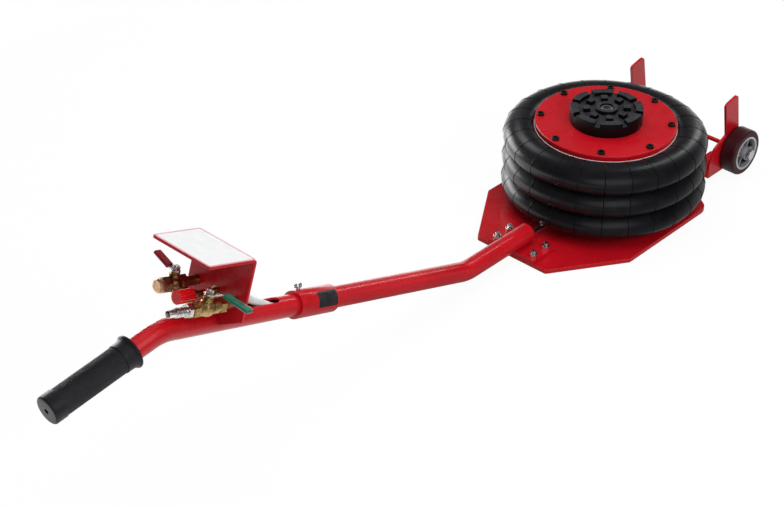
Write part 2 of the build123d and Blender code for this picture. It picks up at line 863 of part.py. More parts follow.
def make_lower_air_hose():
    start = (hose_end_x, 0, axis_z)
    return hose_on(FilletPolyline(start, lower_bend, on_slope(split_distance), radius=lower_bend_radius))


outlet_height = valve_height - manifold_outlet_drop


def make_upper_air_hose():
    path = FilletPolyline(
        on_bench(manifold_depth + face_gap, outlet_height),
        on_bench(manifold_depth + hose_first_bend, outlet_height),
        on_bench(hose_tube_entry, 0),
        on_slope(split_distance),
        radius=[hose_outlet_bend_radius, hose_bend_radius],
    )
    return hose_on(path)


# Grip
def make_handle_grip():
    bore = tube_radius + fixed_fit
    inner_end = grip_length - grip_end_wall + face_gap
    flare_end = grip_flange_thickness + grip_flare_length
    collar = flare_end + grip_collar_length
    flange = Polyline((bore, 0), (grip_flange_radius, 0), (grip_flange_radius, grip_flange_thickness))
    flare = TangentArc((grip_step_radius, flare_end), (grip_flange_radius, grip_flange_thickness), tangent=(0, -1))
    body = Polyline(
        (grip_step_radius, flare_end),
        (grip_step_radius, collar),
        (grip_radius, collar),
        (grip_radius, grip_length - grip_end_length),
        (grip_step_radius, grip_length - grip_end_length),
        (grip_step_radius, grip_length),
        (grip_end_hole_radius, grip_length),
        (grip_end_hole_radius, inner_end),
        (bore, inner_end),
        (bore, 0),
    )
    solid = turned([*flange.edges(), flare, *body.edges()])
    end_edge = solid.edges().group_by(Axis.Z)[-1].sort_by(SortBy.RADIUS)[-1]
    solid = fillet(end_edge, grip_end_round)
    direction = (-cos(drop), 0, -sin(drop))
    return Location(Plane(on_grip(grip_start), z_dir=direction)) * solid


# Valve bracket
def make_valve_bracket():
    corner = wall_height
    profile = [
        (0, wall_bottom_height),
        (0, corner),
        (-panel_length, corner),
        (-panel_length, corner - sheet_thickness),
        (-sheet_thickness, corner - sheet_thickness),
        (-sheet_thickness, wall_bottom_height),
    ]
    face = make_face(Polyline(*profile, close=True))
    outer = [v for v in face.vertices() if v.X == 0 and v.Y == corner]
    face = fillet(outer, sheet_bend_radius)
    inner = face.vertices().sort_by_distance((-sheet_thickness, corner - sheet_thickness))[0]
    face = fillet(inner, sheet_bend_radius - sheet_thickness)
    sheet = Pos(0, -panel_offset, 0) * Rot(90, 0, 0) * extrude(face, panel_half_width, both=True)
    tips = sheet.edges().filter_by(Axis.Z).group_by(Axis.X)[0]
    sheet = fillet(tips, panel_corner_round)
    saddle = make_face(Polyline(
        (panel_half_width - panel_offset, wall_bottom_height), (saddle_half_width, saddle_bottom_height),
        (-saddle_half_width, saddle_bottom_height), (-panel_half_width - panel_offset, wall_bottom_height),
        close=True))
    sheet += Pos(-sheet_thickness, 0, 0) * extrude(Plane.YZ * saddle, sheet_thickness)
    sheet -= rod_x(tube_radius + fixed_fit, -sheet_thickness, 0)
    for y in (-valve_spacing, 0, valve_spacing):
        sheet -= Pos(0, y, valve_height) * rod_x(stub_radius + screw_fit, -sheet_thickness, 0)
    return bench * sheet


# Manifold block
def make_manifold_block():
    middle = manifold_depth / 2
    size = (manifold_depth, 2 * manifold_half_length, manifold_rise + manifold_drop)
    block = Pos(middle, 0, (manifold_rise - manifold_drop) / 2) * Box(*size)
    block = chamfer(block.edges().filter_by(Axis.Z).group_by(Axis.X)[-1], manifold_chamfer)
    block -= rod_y(manifold_gallery_radius, -valve_spacing, valve_spacing, middle, 0)
    for y in (-valve_spacing, 0, valve_spacing):
        block -= Pos(0, y, 0) * rod_x(stub_radius + fixed_fit, 0, stub_length)
        block -= Pos(0, y, 0) * rod_x(valve_bore_radius, 0, middle)
    block -= disc(barb_bore_radius, -manifold_outlet_drop, 0, middle, 0)
    block += Pos(manifold_depth, 0, -manifold_outlet_drop) * make_barb()
    block -= Pos(0, 0, -manifold_outlet_drop) * rod_x(barb_bore_radius, middle, manifold_depth + barb_length)
    return bench * Pos(0, 0, valve_height) * block


# Ball valves. A valve is drawn with its shoulder on the bracket's wall at the origin and its flow along X.
gland_top = bonnet_height + gland_height
lever_low = gland_top + face_gap
lever_high = lever_low + lever_thickness
nut_top = lever_high + lever_nut_height
stub_end = sheet_thickness + stub_length
seat_outer_radius = ball_radius + face_gap
ball_room = ball_radius + ball_seat_length - ball_seat_overlap


def place_valve(solid, y):
    """Put a valve piece on the bracket's wall."""
    return bench * Pos(-sheet_thickness, y, valve_height) * solid


def stem_x(length):
    """Where a valve's stem stands, at the middle of its body."""
    return -valve_neck_length - length / 2


def make_valve_body(length, y):
    start = -valve_neck_length - length
    middle = stem_x(length)
    body = rod_x(valve_barrel_radius, start, -valve_neck_length)
    body += Pos(middle, 0, 0) * Sphere(valve_ball_house_radius)
    body += hexagon_x(valve_flats, start, start + valve_hex_length)
    body += hexagon_x(valve_flats, -valve_neck_length - valve_hex_length, -valve_neck_length)
    body += rod_x(valve_neck_radius, -valve_neck_length, 0)
    body += rod_x(stub_radius, 0, stub_end)
    body += Pos(middle, 0, bonnet_height / 2) * Cylinder(bonnet_radius, bonnet_height)
    body -= rod_x(valve_bore_radius, middle, stub_end)
    body -= rod_x(seat_outer_radius + fixed_fit, start, middle + ball_room)
    body -= Pos(middle, 0, bonnet_height / 2) * Cylinder(stem_radius + run_fit, bonnet_height)
    return place_valve(body, y)


def make_ball_stem(length, y):
    top = nut_top + stem_end
    ball = Sphere(ball_radius) - rod_y(ball_bore_radius, -ball_radius, ball_radius)
    ball += disc(stem_radius, stem_root, top)
    return place_valve(Pos(stem_x(length), 0, 0) * ball, y)


def make_valve_seats():
    seats = []
    for length, y in ((inlet_body_length, -valve_spacing), (exhaust_body_length, valve_spacing)):
        for side in (0, 180):
            start = ball_room - ball_seat_length
            seat = rod_x(seat_outer_radius, start, ball_room) - rod_x(valve_bore_radius, start, ball_room)
            seat -= Sphere(ball_radius + run_fit)
            seats.append(place_valve(Pos(stem_x(length), 0, 0) * Rot(0, 0, side) * seat, y))
    return group(seats)


def make_gland_nuts():
    nut = hexagon(gland_flats, bonnet_height, gland_top)
    nut -= disc(stem_radius + run_fit, bonnet_height, gland_top)
    inlet = place_valve(Pos(stem_x(inlet_body_length), 0, 0) * nut, -valve_spacing)
    exhaust = place_valve(Pos(stem_x(exhaust_body_length), 0, 0) * nut, valve_spacing)
    return group([inlet, exhaust])


lever_middle = lever_low + lever_thickness / 2
inlet_lever_line = [
    (0, lever_middle),
    (lever_flat, lever_middle),
    (lever_flat + inlet_lever_bend_length, lever_middle + inlet_lever_bend_height),
    (inlet_lever_length, lever_middle + inlet_lever_end_height),
]
exhaust_lever_line = [
    (0, lever_middle),
    (lever_flat, lever_middle),
    (exhaust_lever_length, lever_middle + exhaust_lever_end_height),
]


def strip(points, thickness, width):
    """Flat strip of a given thickness along a line in the YZ plane, centred on X."""
    face = trace(Polyline(*points), line_width=thickness)
    return Plane.YZ * extrude(face, width / 2, both=True)


def lever_strip(line):
    """Bent lever before it is placed, with a round head and the stem's hole."""
    lever = strip(line, lever_thickness, lever_width) + disc(lever_head_radius, lever_low, lever_high)
    return lever - disc(stem_radius + fixed_fit, lever_low, lever_high)


def place_lever(solid, body_length, y):
    """Put a lever piece on its stem, pointing away from the handle's middle."""
    turn = 0 if y > 0 else 180
    return place_valve(Pos(stem_x(body_length), 0, 0) * Rot(0, 0, turn) * solid, y)


def make_lever(line, body_length, y):
    return place_lever(lever_strip(line), body_length, y)


def make_lever_sleeve(line, body_length, y):
    """Sleeve over the last straight stretch of a lever."""
    last = Polyline(*line[-2:])
    direction = last % 1
    start = last @ 0 + direction * lever_sleeve_gap
    end = last @ 1 + direction * lever_sleeve_end
    grip = strip([(start.X, start.Y), (end.X, end.Y)], lever_sleeve_thickness, lever_sleeve_width)
    grip = fillet(grip.edges(), lever_sleeve_round)
    return place_lever(grip - lever_strip(line), body_length, y)


def make_lever_nut(body_length, y):
    nut = hexagon(lever_nut_flats, lever_high, nut_top) - disc(stem_radius + fixed_fit, lever_high, nut_top)
    return place_lever(nut, body_length, y)


def make_hose_nipple():
    seat_x = stem_x(inlet_body_length) - ball_room
    start = -valve_neck_length - inlet_body_length
    tip = start - nipple_length
    ridge = tip + nipple_tip_length
    nipple = rod_x(nipple_radius, tip, start)
    for i in range(2):
        ridge_x = ridge + i * (nipple_ridge_length + nipple_groove_length)
        nipple += rod_x(nipple_ridge_radius, ridge_x, ridge_x + nipple_ridge_length)
    nipple += hexagon_x(nipple_hex_flats, start - nipple_hex_length, start)
    nipple += rod_x(seat_outer_radius, start, seat_x)
    return place_valve(nipple - rod_x(valve_bore_radius, tip, seat_x), -valve_spacing)


def make_exhaust_muffler():
    seat_x = stem_x(exhaust_body_length) - ball_room
    start = -valve_neck_length - exhaust_body_length
    cap = rod_x(muffler_radius, start - muffler_length, start)
    cap = fillet(cap.edges().group_by(Axis.X)[0], muffler_round)
    cap += rod_x(seat_outer_radius, start, seat_x)
    return place_valve(cap - rod_x(ball_bore_radius, start, seat_x), valve_spacing)


# Relief valve
relief_hex_start = -relief_neck_length - relief_hex_length
relief_barrel_start = relief_hex_start - relief_barrel_length
relief_seat_x = relief_hex_start + relief_seat_thickness
poppet_start = relief_seat_x - poppet_length
relief_cap_screw_x = relief_barrel_start + relief_cap_end / 2


def make_relief_body():
    body = rod_x(relief_barrel_radius, relief_barrel_start, relief_hex_start)
    body += hexagon_x(relief_hex_flats, relief_hex_start, -relief_neck_length)
    body += rod_x(relief_neck_radius, -relief_neck_length, 0)
    body += rod_x(stub_radius, 0, stub_end)
    body -= rod_x(relief_bore_radius, relief_barrel_start, relief_seat_x)
    body -= rod_x(relief_passage_radius, relief_seat_x, stub_end)
    return place_valve(body, 0)


def make_relief_poppet():
    return place_valve(rod_x(relief_bore_radius - face_gap, poppet_start, relief_seat_x), 0)


def coil_path(radius, length, turns):
    """Coil about the Z axis as tangent arcs of an eighth of a turn."""
    count = 8 * turns
    angles = [2 * pi * turns * i / count for i in range(count + 1)]
    points = [Vector(radius * cos(a), radius * sin(a), length * i / count) for i, a in enumerate(angles)]
    direction = Vector(0, 2 * pi * radius * turns, length)
    arcs = []
    for start, end in zip(points, points[1:]):
        arc = TangentArc(start, end, tangent=direction)
        direction = arc % 1
        arcs.append(arc)
    return Wire(arcs)


def make_relief_spring():
    wire = relief_spring_wire_radius
    low = relief_cap_screw_x + soft_gap + wire
    high = poppet_start - wire
    path = coil_path(relief_bore_radius - soft_gap - wire, high - low, relief_spring_turns)
    return place_valve(Pos(low, 0, 0) * Rot(0, 90, 0) * tube_on(path, wire), 0)


def make_relief_cap():
    start = relief_barrel_start - relief_cap_end
    end = relief_hex_start - face_gap
    cap = rod_x(relief_cap_radius, start, end)
    groove_start = relief_barrel_start - relief_cap_end / 2
    for y, z, _ in circle_points(relief_rib_count, relief_cap_radius):
        cap -= Pos(0, y, z) * rod_x(relief_rib_radius, groove_start, end)
    cap -= rod_x(relief_barrel_radius + run_fit, relief_barrel_start - face_gap, end)
    cap += rod_x(relief_bore_radius - face_gap, start, relief_cap_screw_x)
    return place_valve(cap, 0)


parts = {
    "base_plate": make_base_plate(),
    "left_wheel_bracket": make_wheel_bracket(1),
    "right_wheel_bracket": make_wheel_bracket(-1),
    "cross_rod": make_cross_rod(),
    "axle_sleeves": make_axle_sleeves(),
    "axle_bolts": make_axle_bolts(),
    "axle_nuts": make_axle_nuts(),
    "left_wheel_hub": make_wheel_hub(1),
    "right_wheel_hub": make_wheel_hub(-1),
    "left_tyre": make_tyre(1),
    "right_tyre": make_tyre(-1),
    "bag_seat": make_bag_seat(),
    "lower_bead_ring": make_bead_ring(lower_flange_z, bottom_screw_points),
    "upper_bead_ring": make_bead_ring(upper_flange_z - bead_ring_thickness, top_screw_points),
    "bottom_screws": make_bottom_screws(),
    "top_screws": make_top_screws(),
    "lower_convolution": make_convolution(0),
    "middle_convolution": make_convolution(1),
    "upper_convolution": make_convolution(2),
    "lower_girdle_hoop": make_girdle_hoop(0),
    "upper_girdle_hoop": make_girdle_hoop(1),
    "guide_outer_tube": make_guide_stage(0),
    "guide_second_stage": make_guide_stage(1),
    "guide_third_stage": make_guide_stage(2),
    "guide_inner_rod": make_guide_inner_rod(),
    "top_plate": make_top_plate(),
    "lift_pad": make_lift_pad(),
    "pad_bolt": make_pad_bolt(),
    "handle_flange": make_handle_flange(),
    "flange_bolts": make_flange_bolts(),
    "flange_nuts": make_flange_nuts(),
    "lower_tube": make_lower_tube(),
    "upper_tube": make_upper_tube(),
    "coupling_sleeve": make_coupling_sleeve(),
    "wing_screw": make_wing_screw(),
    "tube_end_plug": make_tube_end_plug(),
    "bag_inlet_pipe": make_bag_inlet_pipe(),
    "lower_air_hose": make_lower_air_hose(),
    "upper_air_hose": make_upper_air_hose(),
    "handle_grip": make_handle_grip(),
    "valve_bracket": make_valve_bracket(),
    "manifold_block": make_manifold_block(),
    "inlet_valve_body": make_valve_body(inlet_body_length, -valve_spacing),
    "exhaust_valve_body": make_valve_body(exhaust_body_length, valve_spacing),
    "inlet_ball_stem": make_ball_stem(inlet_body_length, -valve_spacing),
    "exhaust_ball_stem": make_ball_stem(exhaust_body_length, valve_spacing),
    "valve_seats": make_valve_seats(),
    "gland_nuts": make_gland_nuts(),
    "inlet_lever": make_lever(inlet_lever_line, inlet_body_length, -valve_spacing),
    "exhaust_lever": make_lever(exhaust_lever_line, exhaust_body_length, valve_spacing),
    "inlet_lever_sleeve": make_lever_sleeve(inlet_lever_line, inlet_body_length, -valve_spacing),
    "exhaust_lever_sleeve": make_lever_sleeve(exhaust_lever_line, exhaust_body_length, valve_spacing),
    "inlet_lever_nut": make_lever_nut(inlet_body_length, -valve_spacing),
    "exhaust_lever_nut": make_lever_nut(exhaust_body_length, valve_spacing),
    "hose_nipple": make_hose_nipple(),
    "exhaust_muffler": make_exhaust_muffler(),
    "relief_body": make_relief_body(),
    "relief_poppet": make_relief_poppet(),
    "relief_spring": make_relief_spring(),
    "relief_cap": make_relief_cap(),
}

os.makedirs("parts", exist_ok=True)
for name, shape in parts.items():
    export_step(shape, "parts/" + name + ".step")
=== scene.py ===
"""Looks of a pneumatic air bag jack: materials, rubber bag, grip, films, light and camera."""
import json
import math

import bmesh
import bpy
from mathutils import Matrix, Vector


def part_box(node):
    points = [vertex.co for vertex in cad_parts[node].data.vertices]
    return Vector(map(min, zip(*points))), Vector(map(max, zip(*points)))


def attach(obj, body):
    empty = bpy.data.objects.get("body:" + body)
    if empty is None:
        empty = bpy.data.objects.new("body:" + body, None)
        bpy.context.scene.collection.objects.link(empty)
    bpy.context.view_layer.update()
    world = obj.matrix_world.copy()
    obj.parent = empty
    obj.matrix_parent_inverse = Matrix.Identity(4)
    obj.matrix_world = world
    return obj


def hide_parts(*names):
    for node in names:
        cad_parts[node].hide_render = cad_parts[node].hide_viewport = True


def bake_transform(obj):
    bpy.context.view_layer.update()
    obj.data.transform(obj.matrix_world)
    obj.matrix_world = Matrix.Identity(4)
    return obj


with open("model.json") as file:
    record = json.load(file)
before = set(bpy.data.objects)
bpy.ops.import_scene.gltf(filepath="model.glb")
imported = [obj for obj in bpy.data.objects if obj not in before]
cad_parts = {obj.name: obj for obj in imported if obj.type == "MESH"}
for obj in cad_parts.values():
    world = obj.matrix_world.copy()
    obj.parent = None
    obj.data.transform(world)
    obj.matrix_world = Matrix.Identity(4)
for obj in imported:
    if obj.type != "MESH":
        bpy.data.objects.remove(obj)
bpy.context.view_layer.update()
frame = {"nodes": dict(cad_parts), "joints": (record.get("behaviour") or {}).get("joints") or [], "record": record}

MM = 0.001

# Camera
camera_place = Vector((-1.6669, -1.1793, 1.2947))
camera_azimuth = math.radians(-46.8)
camera_elevation = math.radians(34.36)
far_side = (-math.sin(camera_azimuth), math.cos(camera_azimuth), 0.0)
focal_pixels = 1770.6
picture_width = 784
sensor_width = 36.0

# Air bag
bag_roll_depth = 28.0 * MM
bag_roll_half_height = 20.0 * MM
bag_crown_depth = 19.5 * MM
bag_wall = 4.0 * MM
bag_neck_inset = 11.0 * MM
bag_rib_count = 24
bag_rib_height = 0.5 * MM
bag_rib_half_width = 0.5 * MM
bag_first_rib = math.radians(7.7)
bag_arc_steps = 34
bag_plain_steps = 8
bag_lean_azimuth = camera_azimuth
bag_lean = (4.0 * MM, 2.2 * MM, 1.1 * MM)

# Seal round the top plate
seal_radius = 0.55 * MM
seal_rise = 1.2 * MM
seal_steps = 8
ring_steps = 128

# Rubber grip
grip_drop = math.radians(7.2)
grip_flange_thickness = 3.0 * MM
grip_flare_length = 8.0 * MM
grip_collar_length = 6.0 * MM
grip_end_length = 15.0 * MM
grip_end_wall = 4.0 * MM
grip_end_hole_radius = 3.0 * MM
grip_step_drop = 3.0 * MM
grip_barrel_drop = 3.7 * MM
grip_bore_drop = 6.55 * MM
grip_flute_count = 48
grip_flute_depth = 0.45 * MM
grip_flute_columns = 4
grip_flange_round = 0.45 * grip_flange_thickness
grip_edge_round = 0.7 * MM / 3
grip_end_round = 2.5 * MM
grip_flare_steps = 8

# Edges of the CAD pieces
sheet_edge = 0.6 * MM
fine_edge = 0.25 * MM
hub_edge = 0.45 * MM
edge_segments = 2
flat_angle = math.radians(0.5)
sharp_angle = math.radians(38.0)
weld_distance = 0.001 * MM

# Roundings of the modelled pieces
round_steps = 4

# Blank film on the valve bracket
panel_border = 0.9 * MM
panel_frame = 2.4 * MM
panel_thickness = 0.3 * MM
panel_corner = 2.5 * MM
corner_steps = 6

# Blank patch on the coupling sleeve
patch_from_end = 2.5 * MM
patch_length = 31.0 * MM
patch_start_angle = math.radians(24.0)
patch_end_angle = math.radians(92.0)
patch_corner = 2.0 * MM
patch_thickness = 0.25 * MM
patch_steps = 24

# Wheel rims
rim_width = 2.6 * MM
rim_proud = 0.5 * MM
rim_edge = 0.2 * MM

# Surfaces
noise_low = 0.3
noise_high = 0.7
hub_shade_reach = 9.0 * MM

# Directions in the light and in the surfaces
upward = (0.0, 0.0, 1.0)
grip_side = (-1.0, 0.0, 0.0)
left_side = (0.0, 1.0, 0.0)

# Light, where 1 is the white of the background
white = (1.0, 1.0, 1.0, 1.0)
soft_colour = (0.95, 0.97, 1.0, 1.0)
horizon_top = 0.04
sky_start = 0.34
sky_level = 0.12
room_near = -0.1
room_far = 0.5
room_level = 0.16
back_level = 0.7
soft_level = 0.26
floor_reach = 6.0
floor_drop = 0.3 * MM
floor_share = 0.90
floor_white = 1.044
floor_tone = 0.62
floor_edge_start = 0.9
floor_edge_end = 2.2
floor_near = -0.20
floor_far = 0.45
floor_bag_end = 0.40
floor_grip_end = 0.60
floor_left_start = 0.02
floor_left_end = 0.25
left_level = 2.6


# Node helpers
class Tree:
    """Nodes of a material or a world, with short calls for the kinds used here."""

    def __init__(self, owner):
        owner.use_nodes = True
        self.nodes = owner.node_tree.nodes
        self.links = owner.node_tree.links

    def point(self):
        """Place on the object, in metres."""
        return self.nodes.new("ShaderNodeTexCoord").outputs["Object"]

    def stretched_point(self, stretch):
        """Object coordinates with each axis drawn out, for grain that runs one way."""
        mapping = self.nodes.new("ShaderNodeMapping")
        mapping.inputs["Scale"].default_value = stretch
        self.links.new(self.point(), mapping.inputs["Vector"])
        return mapping.outputs["Vector"]

    def noise(self, scale, detail=3.0, point=None):
        """Noise from 0 to 1 with features about 1 / scale metres across."""
        texture = self.nodes.new("ShaderNodeTexNoise")
        texture.inputs["Scale"].default_value = scale
        texture.inputs["Detail"].default_value = detail
        self.links.new(point or self.point(), texture.inputs["Vector"])
        return texture.outputs["Fac"]

    def cells(self, scale):
        """Distance to the nearest of scattered points, for cast and sintered grain."""
        texture = self.nodes.new("ShaderNodeTexVoronoi")
        texture.inputs["Scale"].default_value = scale
        self.links.new(self.point(), texture.inputs["Vector"])
        return texture.outputs["Distance"]

    def ramp(self, value, start, end, low, high):
        """Even change from low to high as a value goes from start to end."""
        node = self.nodes.new("ShaderNodeMapRange")
        node.inputs["From Min"].default_value = start
        node.inputs["From Max"].default_value = end
        node.inputs["To Min"].default_value = low
        node.inputs["To Max"].default_value = high
        self.links.new(value, node.inputs["Value"])
        return node.outputs["Result"]

    def spread(self, value, low, high):
        """Maps the middle of a noise onto the range from low to high."""
        return self.ramp(value, noise_low, noise_high, low, high)

    def tint(self, value, dark, light):
        """Colour between dark and light, led by a noise."""
        node = self.nodes.new("ShaderNodeValToRGB")
        first, last = node.color_ramp.elements
        first.position = noise_low
        last.position = noise_high
        first.color = (*dark, 1.0)
        last.color = (*light, 1.0)
        self.links.new(value, node.inputs["Fac"])
        return node.outputs["Color"]

    def bump(self, height, depth, strength, under=None):
        """Surface normal raised by a height map, in metres, over another bump if one is given."""
        node = self.nodes.new("ShaderNodeBump")
        node.inputs["Strength"].default_value = strength
        node.inputs["Distance"].default_value = depth
        self.links.new(height, node.inputs["Height"])
        if under is not None:
            self.links.new(under, node.inputs["Normal"])
        return node.outputs["Normal"]

    def combine(self, operation, first, second):
        """Two values put together by a named operation."""
        node = self.nodes.new("ShaderNodeMath")
        node.operation = operation
        self.links.new(first, node.inputs[0])
        self.links.new(second, node.inputs[1])
        return node.outputs[0]

    def choose(self, chosen, level, otherwise):
        """A plain level where chosen is 1, and another value where it is 0."""
        node = self.nodes.new("ShaderNodeMapRange")
        node.inputs["To Max"].default_value = level
        self.links.new(chosen, node.inputs["Value"])
        self.links.new(otherwise, node.inputs["To Min"])
        return node.outputs["Result"]

    def along(self, point, direction):
        """How far a point or a direction lies along another direction."""
        node = self.nodes.new("ShaderNodeVectorMath")
        node.operation = "DOT_PRODUCT"
        node.inputs[1].default_value = direction
        self.links.new(point, node.inputs[0])
        return node.outputs["Value"]

    def length(self, point):
        """How far a point lies from the origin."""
        node = self.nodes.new("ShaderNodeVectorMath")
        node.operation = "LENGTH"
        self.links.new(point, node.inputs[0])
        return node.outputs["Value"]

    def ray(self, kind):
        """One for rays of a named kind, zero for the others."""
        return self.nodes.new("ShaderNodeLightPath").outputs[kind]

    def mix(self, share, first, second):
        """Shader that goes from the first to the second as the share goes from 0 to 1."""
        node = self.nodes.new("ShaderNodeMixShader")
        self.links.new(share, node.inputs["Fac"])
        self.links.new(first, node.inputs[1])
        self.links.new(second, node.inputs[2])
        return node.outputs["Shader"]


materials = {}


class Surface(Tree):
    """Nodes of a new material with its main shader, kept by name among the materials."""

    def __init__(self, name):
        self.material = bpy.data.materials.new(name)
        super().__init__(self.material)
        self.shader = self.nodes["Principled BSDF"]
        materials[name] = self.material

    def set(self, socket, number):
        """Sets a plain number on the main shader."""
        self.shader.inputs[socket].default_value = number

    def feed(self, socket, value):
        """Joins a node's value to the main shader."""
        self.links.new(value, self.shader.inputs[socket])


# Materials
def painted(name, dark, light):
    """Powder coat: even colour, soft orange peel and a thin clear gloss."""
    paint = Surface(name)
    paint.feed("Base Color", paint.tint(paint.noise(scale=14.0, detail=5.0), dark, light))
    paint.feed("Roughness", paint.spread(paint.noise(scale=60.0), low=0.24, high=0.34))
    paint.feed("Normal", paint.bump(paint.noise(scale=420.0, detail=2.0), depth=0.12 * MM, strength=0.35))
    paint.set("Specular IOR Level", 0.38)
    paint.set("Coat Weight", 0.15)
    paint.set("Coat Roughness", 0.10)


def rubber_skin(skin, gloss, grain, depth, level):
    """Cloudy gloss and fine grain that all the rubbers share."""
    skin.feed("Roughness", skin.spread(skin.noise(scale=30.0, detail=4.0), *gloss))
    skin.feed("Normal", skin.bump(skin.noise(grain), depth, strength=0.5))
    skin.set("Specular IOR Level", level)


def rubber(name, dark, light, gloss, grain, depth, level=0.3):
    """Moulded rubber: near-black, with faint clouds in its colour."""
    skin = Surface(name)
    skin.feed("Base Color", skin.tint(skin.noise(scale=45.0, detail=6.0), dark, light))
    rubber_skin(skin, gloss, grain, depth, level)


def top_lit_dusty_rubber(name, dark, light, gloss, grain, depth, level):
    """Moulded rubber painted lighter on its upward faces, partly dusty and partly painted light from above, and
    painted dark on its sides as painted shade.
    """
    skin = Surface(name)
    normal = skin.nodes.new("ShaderNodeNewGeometry").outputs["Normal"]
    cloudy = skin.spread(skin.noise(scale=140.0, detail=5.0), low=0.5, high=0.75)
    dust_and_top_light = skin.combine("MULTIPLY", skin.along(normal, upward), cloudy)
    skin.feed("Base Color", skin.tint(dust_and_top_light, dark, light))
    rubber_skin(skin, gloss, grain, depth, level)


def metal(name, dark, light, gloss, grain, depth, stretch=(1.0, 1.0, 1.0)):
    """Plated or drawn metal: clouded colour, uneven gloss and fine tool marks."""
    plate = Surface(name)
    plate.feed("Base Color", plate.tint(plate.noise(scale=120.0, detail=5.0), dark, light))
    marks = plate.noise(grain, detail=4.0, point=plate.stretched_point(stretch))
    plate.feed("Roughness", plate.spread(marks, *gloss))
    plate.feed("Normal", plate.bump(marks, depth, strength=0.4))
    plate.set("Metallic", 1.0)


def cast_metal(name, dark, light, gloss, grain, depth):
    """Cast or sintered metal: speckled colour over a pitted, slightly wavy skin."""
    cast = Surface(name)
    cast.feed("Base Color", cast.tint(cast.noise(grain, detail=2.0), dark, light))
    cast.feed("Roughness", cast.spread(cast.noise(scale=300.0), *gloss))
    waves = cast.bump(cast.noise(scale=260.0, detail=2.0), depth=1.2 * MM, strength=0.35)
    cast.feed("Normal", cast.bump(cast.cells(grain), depth, strength=0.6, under=waves))
    cast.set("Metallic", 1.0)


def plastic_skin(skin, gloss, level):
    """Uneven gloss and slight flow pattern that all the plastics share."""
    skin.feed("Roughness", skin.spread(skin.noise(scale=160.0), *gloss))
    skin.feed("Normal", skin.bump(skin.noise(scale=260.0, detail=2.0), depth=0.1 * MM, strength=0.3))
    skin.set("Specular IOR Level", level)


def plastic(name, dark, light, gloss, level=0.5):
    """Moulded or dipped plastic with faint clouds in its colour."""
    skin = Surface(name)
    skin.feed("Base Color", skin.tint(skin.noise(scale=90.0, detail=4.0), dark, light))
    plastic_skin(skin, gloss, level)


def pocket_shaded_plastic(name, dark, light, gloss):
    """Moulded plastic painted dark in its hollows as painted shade, from an occlusion pass, and pale on its ribs.
    """
    skin = Surface(name)
    pocket_shade = skin.nodes.new("ShaderNodeAmbientOcclusion")
    pocket_shade.inputs["Distance"].default_value = hub_shade_reach
    cloudy = skin.spread(skin.noise(scale=90.0, detail=4.0), low=0.85, high=1.0)
    shade = skin.combine("MULTIPLY", pocket_shade.outputs["AO"], cloudy)
    skin.feed("Base Color", skin.tint(shade, dark, light))
    plastic_skin(skin, gloss, level=0.5)


def rubber_materials():
    """Bag, its ribs, lifting pad, grip and tyres."""
    rubber("bag_rubber", dark=(0.0045, 0.0045, 0.0058), light=(0.0085, 0.0085, 0.0105),
           gloss=(0.24, 0.36), grain=700.0, depth=0.10 * MM)
    # The ribs take a matt rubber a little darker than the bag, as painted shade on their steep sides.
    rubber("rib_shade_rubber", dark=(0.0030, 0.0030, 0.0036), light=(0.0050, 0.0050, 0.0058),
           gloss=(0.60, 0.75), grain=700.0, depth=0.10 * MM, level=0.04)
    # The pad is painted lighter on top than on its sides: painted light from above, with some dusty clouds.
    top_lit_dusty_rubber("pad_rubber", dark=(0.0022, 0.0022, 0.0030), light=(0.040, 0.039, 0.046),
                 gloss=(0.40, 0.56), grain=1600.0, depth=0.35 * MM, level=0.16)
    rubber("grip_rubber", dark=(0.008, 0.0075, 0.010), light=(0.015, 0.014, 0.018),
           gloss=(0.38, 0.52), grain=1400.0, depth=0.20 * MM)
    rubber("tyre_polyurethane", dark=(0.030, 0.0040, 0.0058), light=(0.052, 0.0075, 0.0105),
           gloss=(0.32, 0.48), grain=900.0, depth=0.12 * MM)


def metal_materials():
    """Steel, nickel, alloy, brass and bronze."""
    metal("zinc_steel", dark=(0.72, 0.72, 0.74), light=(0.94, 0.94, 0.94),
          gloss=(0.16, 0.30), grain=500.0, depth=0.08 * MM)
    metal("black_steel", dark=(0.035, 0.034, 0.036), light=(0.085, 0.080, 0.082),
          gloss=(0.30, 0.44), grain=700.0, depth=0.08 * MM)
    metal("worn_steel", dark=(0.34, 0.34, 0.35), light=(0.58, 0.58, 0.60),
          gloss=(0.26, 0.40), grain=700.0, depth=0.08 * MM)
    metal("plain_steel", dark=(0.40, 0.40, 0.41), light=(0.62, 0.62, 0.62),
          gloss=(0.25, 0.42), grain=900.0, depth=0.06 * MM, stretch=(1.0, 1.0, 0.1))
    metal("nickel", dark=(0.74, 0.70, 0.67), light=(0.95, 0.92, 0.90),
          gloss=(0.14, 0.30), grain=700.0, depth=0.05 * MM)
    metal("manifold_alloy", dark=(0.50, 0.50, 0.51), light=(0.70, 0.70, 0.71),
          gloss=(0.28, 0.44), grain=600.0, depth=0.06 * MM, stretch=(0.1, 1.0, 1.0))
    cast_metal("brass", dark=(0.36, 0.22, 0.07), light=(0.72, 0.49, 0.21),
               gloss=(0.20, 0.40), grain=900.0, depth=0.25 * MM)
    # A darker copy of the brass, painted with the shade that falls on the two valve bodies.
    cast_metal("shaded_brass", dark=(0.17, 0.10, 0.045), light=(0.46, 0.31, 0.15),
               gloss=(0.20, 0.38), grain=1100.0, depth=0.18 * MM)
    cast_metal("sintered_bronze", dark=(0.58, 0.35, 0.19), light=(0.80, 0.55, 0.35),
               gloss=(0.34, 0.50), grain=1500.0, depth=0.45 * MM)


